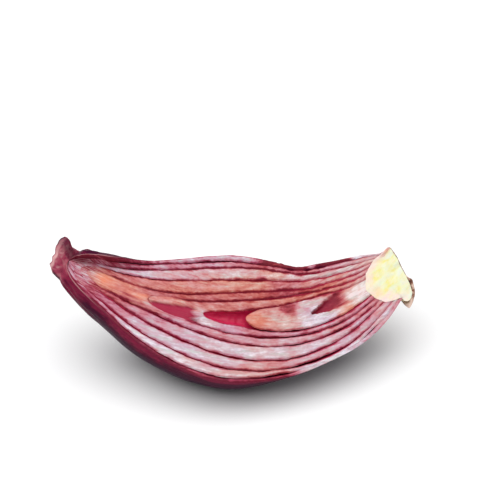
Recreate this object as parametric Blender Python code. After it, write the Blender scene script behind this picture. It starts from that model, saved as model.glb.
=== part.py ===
"""Cut half of a dayak onion bulb, lying on its skin with the cut face tilted up.

Every piece is a half-turn spin of a flat strip. `place` then gives each point of the strip its
position in the bulb: a station along the bent axis, a depth below the skin and an angle round it.
"""
import math

import bmesh
import bpy
from mathutils import Matrix, Vector

MM = 0.001

# Attitude on the table, in degrees.
TILT = 23.1
PITCH = 6.0

# Axis of the bulb in the cut face, a bend to +Y: powers 0 to 4 of station / 30 mm, then straight.
AXIS_BEND = (-1.03, -2.58, 9.42, 2.8, 1.88)
AXIS_STRAIGHT = 26.5

# Half width of the cut face (mm) along the axis (mm). It is zero at the lip, where the cut runs out.
LIP = -28.8
HALF_WIDTH = ((LIP, 0.0), (-28.0, 1.7), (-27.0, 2.5), (-25.2, 3.45), (-23.2, 4.3), (-20.0, 5.7),
              (-16.8, 7.3), (-13.5, 8.8), (-9.7, 10.35), (-6.0, 11.55), (-0.8, 12.5), (4.0, 12.05),
              (10.0, 10.8), (15.0, 9.3), (20.0, 8.45), (24.3, 7.2), (27.0, 5.8), (29.5, 4.5), (33.0, 3.6))

# How far the middle of the round section lies below the cut face (mm).
CUT_DEPTH = ((-32.0, 0.0), (-30.0, 1.3), (LIP, 2.6), (-26.0, 2.7), (-23.0, 2.95), (-19.0, 2.85),
             (-14.0, 2.65), (-9.0, 1.75), (-3.0, 0.6), (3.0, -0.2), (8.0, -1.9), (13.0, -3.5),
             (20.0, -3.8), (27.0, -2.6), (33.0, -1.5))
NECK_RADIUS = 2.8
NECK_RUN = 0.2

# Swelling of the section against the half width: (station, near side, far side).
SWELL = ((0.0, 1.0, 1.0), (6.0, 1.0, 1.035), (12.0, 1.01, 1.035), (16.0, 1.02, 1.025),
         (20.4, 0.975, 1.035), (24.4, 0.925, 1.03), (26.2, 0.925, 1.045), (27.6, 0.96, 1.035),
         (28.8, 1.0, 0.96), (29.9, 1.0, 0.87), (31.2, 1.0, 0.92))

# Edges between neighbouring layers, as a share of the half width: (station, near side, far side).
EDGES = (
    ((-8, 0.03, 0.03), (0, 0.09, 0.09), (8, 0.23, 0.2), (16, 0.27, 0.3), (24, 0.22, 0.22)),
    ((-8, 0.17, 0.17), (0, 0.25, 0.26), (8, 0.33, 0.34), (16, 0.38, 0.41), (24, 0.35, 0.35)),
    ((-24, 0.3, 0.32), (-16, 0.25, 0.23), (-8, 0.31, 0.3), (0, 0.39, 0.4), (8, 0.48, 0.47),
     (16, 0.52, 0.52), (24, 0.475, 0.47)),
    ((-24, 0.47, 0.57), (-16, 0.49, 0.52), (-8, 0.53, 0.56), (0, 0.61, 0.6), (8, 0.71, 0.645),
     (16, 0.69, 0.68), (24, 0.6, 0.6)),
    ((-24, 0.72, 0.7), (-16, 0.75, 0.76), (-8, 0.75, 0.78), (0, 0.8, 0.8), (8, 0.86, 0.82),
     (16, 0.83, 0.82), (24, 0.75, 0.75)),
    ((-28, 0.8, 0.8), (-24, 0.86, 0.86), (-16, 0.92, 0.9), (-8, 0.94, 0.9), (0, 0.94, 0.9),
     (8, 0.94, 0.91), (16, 0.92, 0.92), (24, 0.89, 0.89)),
    ((-28, 1.0, 1.0), (24, 1.0, 1.0)),
)
# Where each edge closes in a bow towards the neck, and the length over which it opens out.
BOWS = ((-13.6, 5.0), (-14.8, 6.0), (-24.9, 4.0), (-26.2, 3.0), (-27.5, 2.4), (-28.4, 2.2), (-31.3, 1.2))
BUD_BOW = (2.2, 3.0)
SKIN_HOLLOW_BOW = (-29.6, 1.2)

GAP = 0.3
# Powers that crowd the rows of an edge towards the neck, behind the lip, towards a bow and at the plate.
NECK_CROWDING = 1.4
LIP_CROWDING = 1.5
BOW_CROWDING = 1.7
CUP_CROWDING = 4

# Cupped front of the basal plate: station on the axis, rise to the rim, by how much it is less on the far
# side, and the power with which it rises.
PLATE_FRONT = 24.05
PLATE_CUP = 4.55
PLATE_LEAN = 0.45
PLATE_POWER = 1.4
# Back of the plate from its rim, at run 0, to the axis, at run 1: (run, station, share of the half width).
PLATE_NEAR = ((0.0, 29.2, 1.0), (0.1, 29.45, 1.13), (0.25, 30.2, 1.26), (0.42, 31.0, 1.19),
              (0.56, 31.2, 1.0), (0.7, 31.15, 0.75), (0.84, 31.0, 0.42), (1.0, 30.75, 0.0))
PLATE_FAR = ((0.0, 28.3, 1.0), (0.25, 29.5, 1.0), (0.5, 30.1, 0.68), (0.75, 30.55, 0.32), (1.0, 30.75, 0.0))
PLATE_BACK = 30.75
CROWN_THICKNESS = 0.7
CROWN_REACH = 0.74
CROWN_MIDDLE = 0.5
CROWN_STEP = 0.02

# The base leans back: how much per mm across, and the stations between which the lean sets in.
BASE_SHEAR = 0.42
SHEAR_START = 15.0
SHEAR_END = 27.0
FLAT_RISE = 1.0

# The uncut skin that curls over the far rim by the neck: swelling (mm), extra turn (radians), its run from
# the lip (mm), the stations between which it dies out, and the share of the way out and the turn where it
# begins.
HOOD_SWELL = 1.45
HOOD_TURN = 0.46
HOOD_START = 1.4
HOOD_FADE = (-27.0, -16.0)
HOOD_SHARE = (0.84, 0.88)
HOOD_SIDE = 0.2

# Small hollow in the cut face of the bud: station, distance across, and half sizes (mm).
PIT_CENTRE = (17.4, 0.2)
PIT_LENGTH = 2.8
PIT_WIDTH = 1.2
PIT_DEPTH = 0.9
PIT_FLOOR = 0.35

# Rows along a piece, steps of its half turn and courses through its wall.
SKIN_MESH = (40, 20, 1)
SCALE_MESH = (26, 14, 1)
BUD_MESH = (20, 10, 4)
PLATE_MESH = (16, 14, 1)
CROWN_MESH = (8, 12, 1)
SHARP_ANGLE = 35.0

# Colour and roughness of each tissue.
SKIN_LOOK = ((0.16, 0.02, 0.05), 0.4)
SCALE_LOOK = ((0.82, 0.62, 0.66), 0.45)
BUD_LOOK = ((0.86, 0.5, 0.4), 0.45)
PLATE_LOOK = ((0.86, 0.83, 0.45), 0.5)
CROWN_LOOK = ((0.22, 0.11, 0.05), 0.85)


def smooth_step(low, high, x):
    """0 below low, 1 above high, with an even rise between."""
    share = min(1.0, max(0.0, (x - low) / (high - low)))
    return share * share * (3.0 - 2.0 * share)


def along(table, x, column=1):
    """Value at x on a smooth curve through the rows of a table, held level past the ends."""
    if x <= table[0][0]:
        return table[0][column]
    if x >= table[-1][0]:
        return table[-1][column]
    i = max(k for k in range(len(table) - 1) if table[k][0] <= x)
    slopes = []
    for k in (i, i + 1):
        low, high = table[max(k - 1, 0)], table[min(k + 1, len(table) - 1)]
        slopes.append((high[column] - low[column]) / (high[0] - low[0]))
    a, b = table[i], table[i + 1]
    w = b[0] - a[0]
    t = (x - a[0]) / w
    return (a[column] * (1 + 2 * t) * (1 - t) ** 2 + b[column] * t * t * (3 - 2 * t)
            + w * slopes[0] * t * (1 - t) ** 2 - w * slopes[1] * t * t * (1 - t))


def half_width(station):
    """Half width of the cut face (mm), opening out of the lip as a rounded end."""
    if station <= LIP:
        return 0.0
    if station < HALF_WIDTH[1][0]:
        first_station, first_width = HALF_WIDTH[1]
        return first_width * math.sqrt((station - LIP) / (first_station - LIP))
    return along(HALF_WIDTH[1:], station)


def axis_point(station):
    """Point of the bent axis in the cut face (mm) and its unit sideways direction."""
    share = min(station, AXIS_STRAIGHT) / 30.0
    slope = sum(k * c * share ** (k - 1) for k, c in enumerate(AXIS_BEND) if k) / 30.0
    across = sum(c * share ** k for k, c in enumerate(AXIS_BEND)) + slope * max(0.0, station - AXIS_STRAIGHT)
    return Vector((station, across, 0.0)), Vector((-slope, 1.0, 0.0)).normalized()


def edge_share(edge, station, turn, bow, offset):
    """Share of the half width at which an edge runs, moved outwards by offset (mm)."""
    start, length = bow
    start -= offset
    if station <= start:
        return 0.0
    near, far = along(EDGES[edge], station, 1), along(EDGES[edge], station, 2)
    opening = min(1.0, (station - start) / length)
    rounding = math.sqrt(1.0 - (1.0 - opening) ** 2)
    size = max(half_width(station), NECK_RADIUS)
    return rounding * (near + (far - near) * (1.0 + turn) / 2.0 + offset / size)


def tilted(point):
    """Turns a point from the cut face's own axes to the table's."""
    return Matrix.Rotation(math.radians(PITCH), 3, "Y") @ Matrix.Rotation(math.radians(TILT), 3, "X") @ point


def hood(station, share, turn):
    """How much of the hood there is at a point, 0 to 1: only in the skin, on the far side by the neck."""
    run = smooth_step(LIP, LIP + HOOD_START, station) * (1.0 - smooth_step(*HOOD_FADE, station))
    return run * smooth_step(*HOOD_SHARE, share) * smooth_step(HOOD_SIDE, 1.0, turn)


def swelling(station, side):
    """Swelling of the section; side runs from -1, near, to 1, far, and is 0 underneath."""
    extra = along(SWELL, station, 2 if side > 0.0 else 1) - 1.0
    return 1.0 + extra * side * side


def section_point(station, share, turn):
    """Point at a share of the way out to the skin; turn runs from -1, near rim, to 1, far rim."""
    side = math.sin(math.pi / 2 * turn)
    if station > SHEAR_START:
        lean = BASE_SHEAR * half_width(station) * share * side
        station += lean * smooth_step(SHEAR_START, SHEAR_END, station)
    width = half_width(station)
    depth = along(CUT_DEPTH, station)
    radius = math.hypot(width, depth) if station > LIP else NECK_RADIUS
    rim_angle = math.pi / 2 + math.atan2(depth, width) if station > LIP else math.pi
    curl = hood(station, share, turn)
    angle = rim_angle * turn + HOOD_TURN * curl
    radius += HOOD_SWELL * curl
    across = radius * math.sin(angle)
    below = depth + radius * math.cos(angle)
    sink = max(depth, 0.0) * (share ** 2 if station > LIP else 1.0)
    centre, sideways = axis_point(station)
    share *= swelling(station, side)
    offset = sideways * across * share + Vector((0.0, 0.0, -share * below - (1.0 - share) * sink))
    return tilted(centre + offset)


def place(station, share, turn, floor):
    """Position of a point in the bulb (mm), lifted where the skin is pressed flat on the table."""
    point = section_point(station, share, turn)
    lift = max(0.0, floor - section_point(station, 1.0, turn).z)
    point.z += lift * share ** 2
    return point


def cup(share, turn):
    """Rise of the plate's cupped front (mm) at a share of the way out."""
    return (PLATE_CUP - PLATE_LEAN * turn) * share ** PLATE_POWER


def edge_curve(edge, offset, bow):
    """Curve along an edge, from its bow to the basal plate; u runs from 0 to 1.

    A curve that starts in the neck reaches the lip at u = NECK_RUN, so the rims part in one row.
    """
    start = bow[0] - offset

    def curve(u, turn):
        if start < LIP and u <= NECK_RUN:
            station = start + (LIP - start) * (u / NECK_RUN) ** NECK_CROWDING
        elif start < LIP:
            station = LIP + (PLATE_FRONT - LIP) * ((u - NECK_RUN) / (1.0 - NECK_RUN)) ** LIP_CROWDING
        else:
            station = start + (PLATE_FRONT - start) * u ** BOW_CROWDING
        station += cup(edge_share(edge, PLATE_FRONT, turn, bow, offset) * u ** CUP_CROWDING, turn)
        return station, edge_share(edge, station, turn, bow, offset)
    return curve


def axis_curve(start, end):
    """Straight run along the axis, the middle of a solid piece."""
    def curve(u, turn):
        return start + (end - start) * u, 0.0
    return curve


def plate_back(run, turn):
    """Back of the basal plate, from its rim, at run 0, to the axis, at run 1."""
    far = (1.0 + turn) / 2.0
    return [along(PLATE_NEAR, run, k) * (1.0 - far) + along(PLATE_FAR, run, k) * far for k in (1, 2)]


def plate_curve(u, turn):
    """Outline of the basal plate: the cupped front to half way, then the back."""
    if u < 0.5:
        share = math.sin(math.pi * u)
        return PLATE_FRONT + GAP / 2 + cup(share, turn), share
    return plate_back(2.0 * u - 1.0, turn)


def crown_curve(offset):
    """Face of the thin root crown, offset (mm) behind the back of the plate, from its middle to its rim."""
    def curve(u, turn):
        run = 1.0 - CROWN_REACH * u
        station, share = plate_back(run, turn)
        next_station, next_share = plate_back(run - CROWN_STEP, turn)
        size = half_width(station)
        back, out = (next_share - share) * size, station - next_station
        length = math.hypot(back, out)
        spread = smooth_step(0.0, CROWN_MIDDLE, u)
        back = 1.0 + (back / length - 1.0) * spread
        return station + offset * back, share + offset * spread * out / length / size
    return curve


def material(name, look):
    """Plain surface for one kind of tissue, from its colour and roughness."""
    colour, roughness = look
    made = bpy.data.materials.new(name)
    made.use_nodes = True
    shader = made.node_tree.nodes["Principled BSDF"]
    shader.inputs["Base Color"].default_value = (*colour, 1.0)
    shader.inputs["Roughness"].default_value = roughness
    shader.inputs["Metallic"].default_value = 0.0
    return made


def pit_sink(station, share, turn):
    """Depth (mm) of the bud's hollow at a point of its cut face."""
    if abs(turn) < 0.999 and share > 0.0:
        return 0.0
    across = half_width(station) * share * turn
    reach = math.hypot((station - PIT_CENTRE[0]) / PIT_LENGTH, (across - PIT_CENTRE[1]) / PIT_WIDTH)
    return PIT_DEPTH * (1.0 - smooth_step(PIT_FLOOR, 1.0, reach))


def spun_piece(name, inner, outer, mesh_size, floor, surface):
    """Closed half-turn piece between two curves, welded where both rims meet."""
    rows, turns, courses = mesh_size
    bm = bmesh.new()
    bmesh.ops.create_grid(bm, x_segments=rows, y_segments=courses, size=0.5)
    for vert in bm.verts:
        vert.co = Vector((vert.co.x + 0.5, 0.0, -1.5 - vert.co.y))
    bmesh.ops.rotate(bm, verts=bm.verts, cent=(0, 0, 0), matrix=Matrix.Rotation(-math.pi / 2, 3, "X"))
    bmesh.ops.spin(bm, geom=bm.verts[:] + bm.edges[:] + bm.faces[:], cent=(0, 0, 0), axis=(1, 0, 0),
                   angle=math.pi, steps=turns, use_merge=False, use_duplicate=False)
    whole = []
    for face in bm.faces:
        ends = [abs(math.atan2(v.co.y, -v.co.z)) > 1.57 for v in face.verts]
        stations = [(outer if v.co.yz.length > 1.5 else inner)(v.co.x, 0.0)[0] for v in face.verts]
        if all(ends) and max(stations) <= LIP + 1e-6:
            whole.append(face)
    bmesh.ops.delete(bm, geom=whole, context="FACES")
    for vert in bm.verts:
        turn = math.atan2(vert.co.y, -vert.co.z) / (math.pi / 2)
        u = min(1.0, max(0.0, vert.co.x))
        low, high = Vector(inner(u, turn)), Vector(outer(u, turn))
        station, share = low.lerp(high, round(vert.co.yz.length - 1.0, 4))
        vert.co = place(station, share, turn, floor)
        if courses > 1:
            vert.co += tilted(Vector((0.0, 0.0, -pit_sink(station, share, turn))))
        vert.co *= MM
    bmesh.ops.remove_doubles(bm, verts=bm.verts, dist=1e-6)
    bmesh.ops.dissolve_degenerate(bm, edges=bm.edges, dist=1e-6)
    bmesh.ops.recalc_face_normals(bm, faces=bm.faces)
    mesh = bpy.data.meshes.new(name)
    bm.to_mesh(mesh)
    bm.free()
    mesh.shade_smooth()
    mesh.set_sharp_from_angle(angle=math.radians(SHARP_ANGLE))
    mesh.materials.append(surface)
    made = bpy.data.objects.new(name, mesh)
    bpy.context.scene.collection.objects.link(made)
    return made


def lowest_point():
    """Height (mm) of the lowest point of the round skin, from samples all over it."""
    return min(section_point(s / 2, 1.0, t / 20).z for s in range(-60, 60) for t in range(-20, 21))


def build():
    """Makes every piece and stands the bulb on its flat spot at the middle of its footprint."""
    for old in list(bpy.data.objects):
        bpy.data.objects.remove(old, do_unlink=True)
    floor = lowest_point() + FLAT_RISE
    skin = len(BOWS) - 1
    pieces = [spun_piece("outer_skin", edge_curve(skin - 1, GAP / 2, SKIN_HOLLOW_BOW),
                         edge_curve(skin, 0.0, BOWS[skin]), SKIN_MESH, floor,
                         material("papery_skin", SKIN_LOOK))]
    flesh = material("scale_flesh", SCALE_LOOK)
    for k in range(1, skin):
        outer, inner = skin - k, skin - k - 1
        pieces.append(spun_piece(f"scale_{k}", edge_curve(inner, GAP / 2, BOWS[inner]),
                                 edge_curve(outer, -GAP / 2, BOWS[outer]), SCALE_MESH, floor, flesh))
    pieces.append(spun_piece("inner_bud", axis_curve(BUD_BOW[0] + GAP / 2, PLATE_FRONT),
                             edge_curve(0, -GAP / 2, BUD_BOW), BUD_MESH, floor,
                             material("bud_flesh", BUD_LOOK)))
    pieces.append(spun_piece("basal_plate", axis_curve(PLATE_FRONT + GAP / 2, PLATE_BACK), plate_curve,
                             PLATE_MESH, floor, material("plate_flesh", PLATE_LOOK)))
    pieces.append(spun_piece("root_crown", crown_curve(GAP), crown_curve(GAP + CROWN_THICKNESS),
                             CROWN_MESH, floor, material("corky_root_crown", CROWN_LOOK)))
    corners = [v.co for piece in pieces for v in piece.data.vertices]
    low = [min(c[i] for c in corners) for i in range(3)]
    high = [max(c[i] for c in corners) for i in range(3)]
    shift = Matrix.Translation((-(low[0] + high[0]) / 2, -(low[1] + high[1]) / 2, -low[2]))
    for piece in pieces:
        piece.data.transform(shift)


build()
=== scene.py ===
"""Looks of the cut half of a dayak onion bulb: skin, fleshy scales, bud, basal plate and root crown.

Every piece is a flat strip of fine mesh, spun half a turn and then bent into the bulb. A point of the
bulb has a station along the bent axis (mm), a share of the way out from the axis to the skin, and a
turn round it from -1, the rim in front, over 0, underneath, to 1, the rim behind.
"""
import math

import bmesh
import bpy
from mathutils import Color, Matrix, Vector, noise


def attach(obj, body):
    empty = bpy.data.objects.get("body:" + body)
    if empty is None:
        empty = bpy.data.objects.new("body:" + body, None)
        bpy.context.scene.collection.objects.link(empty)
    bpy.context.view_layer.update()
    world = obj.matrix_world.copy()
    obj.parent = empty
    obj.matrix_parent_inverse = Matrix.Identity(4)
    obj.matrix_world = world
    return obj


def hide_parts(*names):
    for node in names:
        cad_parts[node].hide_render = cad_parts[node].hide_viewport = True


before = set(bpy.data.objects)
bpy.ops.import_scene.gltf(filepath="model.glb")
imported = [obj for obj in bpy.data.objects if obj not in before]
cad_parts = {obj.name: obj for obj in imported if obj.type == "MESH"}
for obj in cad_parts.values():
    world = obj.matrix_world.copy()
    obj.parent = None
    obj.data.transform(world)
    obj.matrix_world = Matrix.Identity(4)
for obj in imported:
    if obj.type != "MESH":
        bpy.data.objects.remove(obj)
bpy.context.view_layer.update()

bl_info = {
    "name": "Cut dayak onion bulb",
    "version": (1, 0, 0),
    "blender": (4, 5, 0),
    "location": "View3D > Sidebar > Onion",
    "description": "Models the cut half of a dayak onion bulb, layer by layer",
    "category": "Add Mesh",
}

MM = 0.001

# The bulb's attitude on the table, in degrees, and the way from its own axes to the frame's (mm).
TILT = 23.1
PITCH = 6.0
SHIFT = (-0.9667, -0.7995)
ATTITUDE = Matrix.Rotation(math.radians(PITCH), 3, "Y") @ Matrix.Rotation(math.radians(TILT), 3, "X")

# The photograph: its focal length and width (pixels), its distance (m), how far down and round it looks (degrees),
# and how far its aim lies right of and above the bulb's middle (pixels).
FOCAL = 1707.5
PICTURE = 500
DISTANCE = 0.3
LOOK_DOWN = 40.0
LOOK_ROUND = -4.0
AIM = (18, 62)
SENSOR = 36.0
# The soft lamp's width and its place above the bulb (m).
LAMP_WIDTH = 0.95
LAMP_PLACE = (-0.05, 0.01, 0.5)

# Points turned further than this to either side lie in the cut face, points with a smaller share than this lie on the
# axis, and stations this close (mm) count as one. Points of a mesh this close (m) are merged, and edges that bend by
# more than this (degrees) are drawn sharp.
CUT_TURN = 0.99
ON_AXIS = 1e-4
CLOSE = 1e-6
MERGE = 1e-7
SHARP = 50

# The forms below are the bulb's own: bend of the axis, half width of the cut, depth of the section's middle.
AXIS_BEND = (-1.03, -2.58, 9.42, 2.8, 1.88)
AXIS_STRAIGHT = 26.5
LIP = -28.8
HALF_WIDTH = ((-28.0, 1.7), (-27.0, 2.5), (-25.2, 3.45), (-23.2, 4.3), (-20.0, 5.7), (-16.8, 7.3), (-13.5, 8.8),
              (-9.7, 10.35), (-6.0, 11.55), (-0.8, 12.5), (4.0, 12.05), (10.0, 10.8), (15.0, 9.3), (20.0, 8.45),
              (24.3, 7.2), (27.0, 5.8), (29.5, 4.5), (33.0, 3.6))
CUT_DEPTH = ((-32.0, 0.0), (-30.0, 1.3), (LIP, 2.6), (-26.0, 2.7), (-23.0, 2.95), (-19.0, 2.85), (-14.0, 2.65),
             (-9.0, 1.75), (-3.0, 0.6), (3.0, -0.2), (8.0, -1.9), (13.0, -3.5), (20.0, -3.8), (27.0, -2.6),
             (33.0, -1.5))
NECK_RADIUS = 2.8
# The neck takes up NECK_RUN of the skin's run, and its torn end END_RUN of the neck's. The middle of that end is at a
# station, and its border at a share of the neck's radius.
NECK_RUN = 0.2
END_RUN = 0.35
END_STATION = -30.2
END_SHARE = 0.86
# Near the neck the far rim curls over the scales: further round the axis (radians) and out from it (mm). The far side
# also bulges (mm) where the bulb opens out of the neck.
CURL_ROUND = 0.46
CURL_OUT = 1.45
BULGE = 0.9
# Swelling of the section against the half width: station, near side, far side.
SWELL = ((0.0, 1.0, 1.0), (6.0, 1.0, 1.035), (12.0, 1.01, 1.035), (16.0, 1.02, 1.025), (20.4, 0.975, 1.035),
         (24.4, 0.925, 1.03), (26.2, 0.925, 1.045), (27.6, 0.96, 1.035), (28.8, 1.0, 0.96), (29.9, 1.0, 0.87),
         (31.2, 1.0, 0.92))

# Edges between the layers as a share of the half width, for the near and the far side.
EDGE_NEAR = (
    ((-6, 0.09), (0, 0.1), (8, 0.23), (16, 0.27), (24, 0.22)),
    ((-8, 0.17), (0, 0.25), (8, 0.33), (16, 0.38), (24, 0.35)),
    ((-24, 0.3), (-16, 0.27), (-8, 0.31), (0, 0.39), (8, 0.48), (16, 0.52), (24, 0.475)),
    ((-24, 0.47), (-16, 0.49), (-8, 0.53), (0, 0.61), (8, 0.71), (16, 0.69), (24, 0.6)),
    ((-24, 0.72), (-16, 0.75), (-8, 0.75), (0, 0.8), (8, 0.86), (12, 0.875), (17, 0.87), (24, 0.79)),
    ((-28, 0.8), (-24, 0.86), (-16, 0.92), (-8, 0.94), (0, 0.94), (8, 0.94), (16, 0.94), (24, 0.9)),
    ((-28, 1.0), (24, 1.0)),
)
EDGE_FAR = (
    ((-8, 0.03), (0, 0.09), (8, 0.2), (16, 0.3), (24, 0.22)),
    ((-8, 0.17), (0, 0.26), (8, 0.34), (16, 0.41), (24, 0.35)),
    ((-24, 0.32), (-16, 0.23), (-8, 0.3), (0, 0.4), (8, 0.47), (16, 0.52), (24, 0.47)),
    ((-24, 0.57), (-16, 0.52), (-8, 0.56), (0, 0.6), (8, 0.645), (16, 0.68), (24, 0.6)),
    ((-24, 0.7), (-16, 0.76), (-8, 0.78), (0, 0.8), (8, 0.82), (16, 0.82), (24, 0.75)),
    ((-28, 0.8), (-24, 0.86), (-16, 0.9), (-8, 0.9), (0, 0.9), (8, 0.91), (16, 0.92), (24, 0.89)),
    ((-28, 1.0), (24, 1.0)),
)
BOWS = ((-5.0, 3.6), (-14.8, 5.0), (-25.5, 3.4), (-26.6, 2.8), (-27.7, 2.0), (-29.3, 0.8))
BUD_BOW = (2.2, 3.0)
SKIN_HOLLOW_BOW = (-29.6, 1.2)
# Cupped front of the basal plate, then its back from the rim, at run 0, to the axis: run, station, share.
PLATE_FRONT = 24.2
PLATE_CUP = 4.55
PLATE_LEAN = 0.45
PLATE_POWER = 1.4
PLATE_NEAR = ((0.0, 29.2, 1.0), (0.1, 29.45, 1.13), (0.25, 30.2, 1.26), (0.42, 31.0, 1.19), (0.56, 31.2, 1.0),
              (0.7, 31.15, 0.75), (0.84, 31.0, 0.42), (1.0, 30.75, 0.0))
PLATE_FAR = ((0.0, 28.3, 1.0), (0.25, 29.5, 1.0), (0.5, 30.1, 0.68), (0.75, 30.55, 0.32), (1.0, 30.75, 0.0))
PLATE_BACK = 30.75
BASE_SHEAR = 0.42
SHEAR_START = 15.0
FLAT_RISE = 1.0

# Where a gap gapes wider: edge, side, station, reach along it and extra half width (mm).
WIDE_GAPS = ((4, -1, 12.5, 6.0, 0.16), (3, -1, -3.0, 9.0, 0.05), (5, 1, -4.0, 9.0, 0.1), (5, 1, 13.0, 1.2, 0.3),
             (5, 1, 16.8, 1.1, 0.3), (5, 1, 19.0, 1.4, 0.34))
# Stations over which the outermost scale and the skin grow into one white band on the near side.
JOINED = (8.0, 10.5)

# Tones of each layer's cut face at a station: blush from lilac white to crimson, warm from lilac to peach. The plate
# and the crown have the same on both sides.
TONES_NEAR = {
    "skin": ((-26, 0.92, 0.1), (-18, 0.85, 0.1), (-6, 0.8, 0.1), (7, 0.7, 0.25), (11, 0.2, 0.0), (26, 0.34, 0.2)),
    "scale_1": ((-24, 0.62, 0.0), (-16, 0.14, 0.0), (-3, 0.22, 0.3), (8, 0.34, 0.6), (12, 0.1, 0.05),
                (26, 0.2, 0.3)),
    "scale_2": ((-24, 0.7, 0.1), (-14, 0.3, 0.0), (-6, 0.2, 0.05), (6, 0.4, 0.55), (14, 0.28, 0.05),
                (25, 0.33, 0.25)),
    "scale_3": ((-22, 0.75, 0.6), (-14, 0.48, 0.1), (-6, 0.28, 0.1), (8, 0.2, 0.2), (18, 0.26, 0.15),
                (25, 0.36, 0.4)),
    "scale_4": ((-25, 0.42, 1.0), (-18, 0.45, 1.0), (-12, 0.52, 0.3), (-7, 0.4, 0.05), (0, 0.45, 0.35),
                (10, 0.33, 0.2), (22, 0.48, 0.3)),
    "scale_5": ((-13, 0.45, 1.0), (-9, 0.38, 0.4), (-5, 0.3, 0.1), (3, 0.48, 0.2), (18, 0.4, 0.3)),
    "bud": ((3, 0.45, 0.95), (8, 0.34, 0.75), (14, 0.14, 0.4), (20, 0.25, 0.7), (24, 0.08, 0.5)),
    "plate": ((24, 0.0, 0.1), (27, 0.0, 0.0), (31, 0.0, 0.6)),
    "crown": ((24, 0.0, 0.0), (31, 0.0, 0.0)),
}
TONES_FAR = {
    "skin": ((-25, 1.1, 0.2), (-19, 0.8, 0.2), (-15, 0.42, 0.05), (-2, 0.28, 0.0), (4, 0.4, 0.1), (7.0, 1.0, 0.5),
             (10, 0.8, 0.6), (14, 1.05, 0.5), (16, 0.75, 0.5), (17.8, 0.25, 0.3), (19.3, 1.05, 0.4),
             (23.1, 1.05, 0.4), (24.0, 0.0, 0.0), (25.5, 0.1, 0.1)),
    "scale_1": ((-25, 0.7, 0.2), (-19, 0.5, 0.05), (-2, 0.5, 0.2), (5, 0.7, 0.5), (17, 0.46, 0.4), (24, 0.3, 0.4)),
    "scale_2": ((-25, 0.5, 0.2), (-19, 0.24, 0.0), (-10, 0.34, 0.35), (0, 0.24, 0.5), (8, 0.3, 0.7), (14, 0.22, 0.4),
                (24, 0.26, 0.6)),
    "scale_3": ((-20, 0.6, 0.7), (-8, 0.5, 0.85), (5, 0.46, 0.95), (10, 0.64, 0.7), (15, 0.46, 0.6),
                (24, 0.28, 0.6)),
    "scale_4": ((-25, 0.42, 1.0), (-18, 0.5, 0.95), (-12, 0.66, 0.7), (5, 0.62, 0.85), (10, 0.8, 0.6),
                (17, 0.62, 0.95), (24, 0.34, 0.6)),
    "scale_5": ((-15, 0.42, 1.0), (-9, 0.5, 0.8), (-2, 0.54, 0.7), (8, 0.48, 0.9), (17, 0.5, 0.85), (24, 0.34, 0.6)),
    "bud": ((3, 0.45, 0.95), (8, 0.4, 0.75), (14, 0.2, 0.4), (20, 0.45, 0.8), (24, 0.15, 0.5)),
}
# Patches over those tones: layer, station, distance across, half sizes (mm), then blush, warm, glow, bare skin and
# strength.
PATCHES = (
    ("skin", -28.2, 0.0, 1.6, 2.8, 0.75, 0.2, 0.0, 0.0, 0.9),
    ("scale_1", -27.2, 0.1, 2.4, 2.8, 0.5, 0.15, 0.0, 0.0, 0.9),
    ("scale_2", -26.2, 0.1, 2.0, 2.8, 0.42, 0.2, 0.0, 0.0, 0.9),
    ("scale_3", -25.2, 0.0, 2.0, 2.6, 0.44, 0.3, 0.0, 0.0, 0.9),
    ("scale_4", -24.2, 0.4, 1.6, 1.6, 0.28, 0.4, 0.05, 0.0, 0.8),
    ("scale_4", -22.6, 0.2, 2.0, 1.3, 0.42, 1.0, 0.9, 0.0, 0.9),
    ("scale_4", -18.8, -0.1, 3.0, 1.4, 0.56, 0.75, 0.25, 0.0, 0.8),
    ("scale_4", -17.6, -0.8, 2.0, 0.35, 1.0, 0.3, 0.0, 0.1, 0.7),
    ("scale_4", -15.8, -0.2, 1.8, 0.8, 0.4, 1.0, 0.7, 0.0, 0.8),
    ("scale_4", -18.6, -1.5, 3.0, 0.35, 0.85, 0.3, 0.0, 0.3, 0.8),
    ("scale_2", 5.9, 7.6, 1.4, 0.6, 0.95, 0.5, 0.0, 0.0, 0.7),
    ("scale_2", 0.5, 7.9, 1.2, 0.4, 0.8, 0.6, 0.0, 0.0, 0.6),
    ("scale_5", -13.2, 1.0, 3.2, 1.4, 0.45, 0.8, 0.2, 0.0, 0.8),
    ("scale_5", -5.0, -0.9, 2.4, 2.4, 0.22, 0.15, 0.0, 0.0, 0.9),
    ("bud", 3.6, -0.3, 3.4, 1.8, 0.46, 0.95, 0.35, 0.0, 0.9),
    ("bud", 10.6, 1.5, 2.0, 1.5, 0.95, 0.5, 0.0, 0.0, 0.9),
    ("bud", 13.8, 0.3, 2.6, 2.2, 0.16, 0.0, 0.0, 0.0, 0.9),
    # Painted shade: a grey lilac patch beside the tip of the bud's pit.
    ("bud", 13.4, 0.7, 1.2, 0.8, 0.4, 0.0, 0.0, 0.0, 0.8),
    ("bud", 15.8, -1.5, 4.2, 1.1, 0.12, 0.0, 0.0, 0.0, 0.8),
    ("bud", 18.6, 2.6, 3.0, 0.7, 0.7, 0.7, 0.0, 0.1, 0.8),
    ("bud", 22.5, 0.2, 2.9, 1.6, -0.05, 0.4, 0.12, 0.0, 0.95),
    ("bud", 20.2, -1.9, 2.6, 0.7, 0.3, 1.0, 0.5, 0.0, 0.8),
    ("plate", 25.4, -1.9, 1.8, 1.3, 0.1, 0.0, 0.45, 0.0, 0.9),
    ("plate", 26.2, -4.0, 2.6, 1.3, 0.8, 0.2, 0.1, 0.0, 0.9),
    ("plate", 29.4, 4.4, 2.2, 0.7, 0.2, 0.2, 0.0, 0.9, 0.9),
    ("plate", 27.4, 1.2, 1.8, 1.6, 0.0, -0.4, 0.0, 0.0, 0.8),
)


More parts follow.
